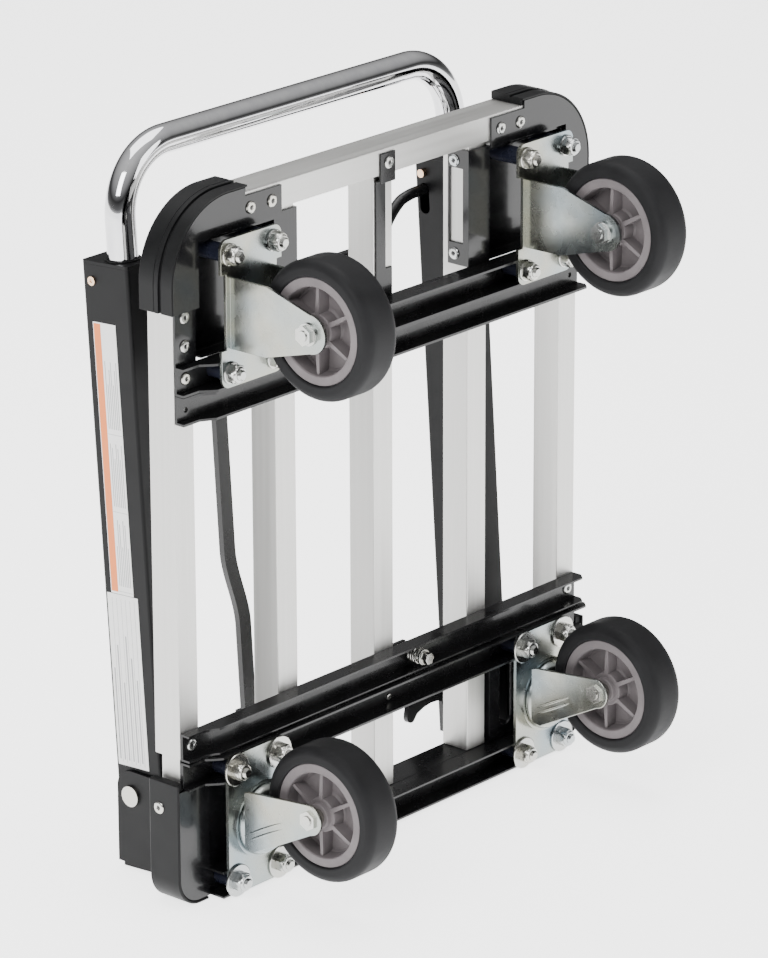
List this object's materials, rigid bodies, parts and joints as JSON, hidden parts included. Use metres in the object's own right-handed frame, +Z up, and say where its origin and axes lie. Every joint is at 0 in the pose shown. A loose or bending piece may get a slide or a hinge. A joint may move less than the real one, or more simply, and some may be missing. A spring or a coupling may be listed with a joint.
{
  "type": "folding platform truck",
  "caption": "Folding platform truck with an extending aluminium deck, rigid and swivel casters, and a fold-flat handle with a telescoping chrome grip, folded and standing on end.",
  "frame": {"origin": "centre of the bounding box's bottom, on the floor that the folded truck stands on", "axes": "+Z up along the deck's length, pivot end at the bottom; casters face -Y; the folded handle lies on +Y; X across the deck"},
  "size_m": [0.4574, 0.257, 0.5478],
  "materials": {
    "aluminium_rail": "satin extruded",
    "black_channel": "semi-gloss black enamel",
    "black_gloss_housing": "gloss black enamel",
    "charcoal_plastic": "matte moulded plastic",
    "black_post_paint": "satin black powder coat",
    "zinc_plate": "bright zinc plated",
    "bright_fastener": "bright zinc plated",
    "dark_spacer": "dark blue-black finish",
    "brass_screw": "yellow passivated",
    "label_vinyl": "printed vinyl, plain bars",
    "chrome_tube": "polished chrome",
    "tyre_rubber": "matte charcoal rubber",
    "grey_rim": "moulded grey plastic"
  },
  "bodies": {
    "base_frame": {"inner_rails": "aluminium_rail", "glide_pads": "charcoal_plastic", "fixed_crossmember": "black_channel", "pivot_end_tube": "black_channel", "pivot_end_channel": "black_channel", "lower_corner_left": "black_gloss_housing", "lower_corner_right": "black_gloss_housing", "lower_cover_left": "charcoal_plastic", "lower_cover_right": "charcoal_plastic", "pivot_brackets": "black_post_paint", "pivot_pins": "bright_fastener", "swivel_plate_left": "zinc_plate", "swivel_plate_right": "zinc_plate", "swivel_bolts": "bright_fastener", "swivel_spacers": "dark_spacer", "base_rivets": "bright_fastener"},
    "deck_frame": {"outer_rail_left": "aluminium_rail", "outer_rail_right": "aluminium_rail", "deck_slats": "aluminium_rail", "end_bar": "aluminium_rail", "top_crossmember_upper": "black_channel", "top_crossmember_lower": "black_channel", "sliding_crossmember": "black_channel", "upper_corner_left": "black_gloss_housing", "upper_corner_right": "black_gloss_housing", "bumper_left": "charcoal_plastic", "bumper_right": "charcoal_plastic", "slat_bracket": "black_channel", "rigid_caster_left": "zinc_plate", "rigid_caster_right": "zinc_plate", "caster_spacers": "dark_spacer", "rigid_bolts": "bright_fastener", "deck_rivets": "bright_fastener", "rigid_axles": "bright_fastener"},
    "handle_posts": {"post_left": "black_post_paint", "post_right": "black_post_paint", "post_caps": "black_post_paint", "post_screws": "brass_screw", "label_panels": "label_vinyl"},
    "grip": {"grip_tube": "chrome_tube"},
    "release": {"release_bar": "black_channel", "link_rod": "black_channel"},
    "lock_shaft": {"lock_shaft": "black_channel"},
    "extension_latch": {"latch_bolt": "bright_fastener", "latch_plate": "black_channel", "latch_spring": "bright_fastener"},
    "swivel_left": {"fork_left": "zinc_plate", "fork_axle_left": "bright_fastener"},
    "swivel_right": {"fork_right": "zinc_plate", "fork_axle_right": "bright_fastener"},
    "wheel_top_left": {"tyre_top_left": "tyre_rubber", "wheel_top_left": "grey_rim"},
    "wheel_top_right": {"tyre_top_right": "tyre_rubber", "wheel_top_right": "grey_rim"},
    "wheel_low_left": {"tyre_low_left": "tyre_rubber", "wheel_low_left": "grey_rim"},
    "wheel_low_right": {"tyre_low_right": "tyre_rubber", "wheel_low_right": "grey_rim"}
  },
  "joints": [
    {"name": "deck_extension", "type": "slide", "parent": "base_frame", "child": "deck_frame", "axis": [0, 0, 1], "range_m": [0, 0.19]},
    {"name": "handle_fold", "type": "hinge", "parent": "base_frame", "child": "handle_posts", "pos_m": [0, 0.0869, 0.059], "axis": [-1, 0, 0], "range_deg": [0, 86.4]},
    {"name": "grip_extension", "type": "slide", "parent": "handle_posts", "child": "grip", "axis": [0, 0.0628, 0.998], "range_m": [0, 0.33]},
    {"name": "release_travel", "type": "slide", "parent": "handle_posts", "child": "release", "axis": [0, -0.0628, -0.998], "range_m": [0, 0.014], "stiffness_N_per_m": 900, "springref_m": -0.01},
    {"name": "lock_turn", "type": "hinge", "parent": "handle_posts", "child": "lock_shaft", "pos_m": [0, 0.0798, 0.07347], "axis": [-1, 0, 0], "range_deg": [0, 44.5]},
    {"name": "latch_push", "type": "slide", "parent": "deck_frame", "child": "extension_latch", "axis": [0, 1, 0], "range_m": [0, 0.006], "stiffness_N_per_m": 1200, "springref_m": -0.004, "deforming": ["latch_spring"]},
    {"name": "left_swivel", "type": "hinge", "parent": "base_frame", "child": "swivel_left", "pos_m": [-0.16, -0.0777, 0.0575], "axis": [0, 1, 0], "continuous": true},
    {"name": "right_swivel", "type": "hinge", "parent": "base_frame", "child": "swivel_right", "pos_m": [0.16, -0.0777, 0.0575], "axis": [0, 1, 0], "continuous": true},
    {"name": "top_left_roll", "type": "hinge", "parent": "deck_frame", "child": "wheel_top_left", "pos_m": [-0.16, -0.0777, 0.4424], "axis": [1, 0, 0], "continuous": true},
    {"name": "top_right_roll", "type": "hinge", "parent": "deck_frame", "child": "wheel_top_right", "pos_m": [0.16, -0.0777, 0.4424], "axis": [1, 0, 0], "continuous": true},
    {"name": "low_left_roll", "type": "hinge", "parent": "swivel_left", "child": "wheel_low_left", "pos_m": [-0.16, -0.0777, 0.0822], "axis": [1, 0, 0], "continuous": true},
    {"name": "low_right_roll", "type": "hinge", "parent": "swivel_right", "child": "wheel_low_right", "pos_m": [0.16, -0.0777, 0.0822], "axis": [1, 0, 0], "continuous": true}
  ],
  "couplings": [
    {"joint": "lock_turn", "follows": "release_travel", "rad_per_m": 55.45}
  ]
}
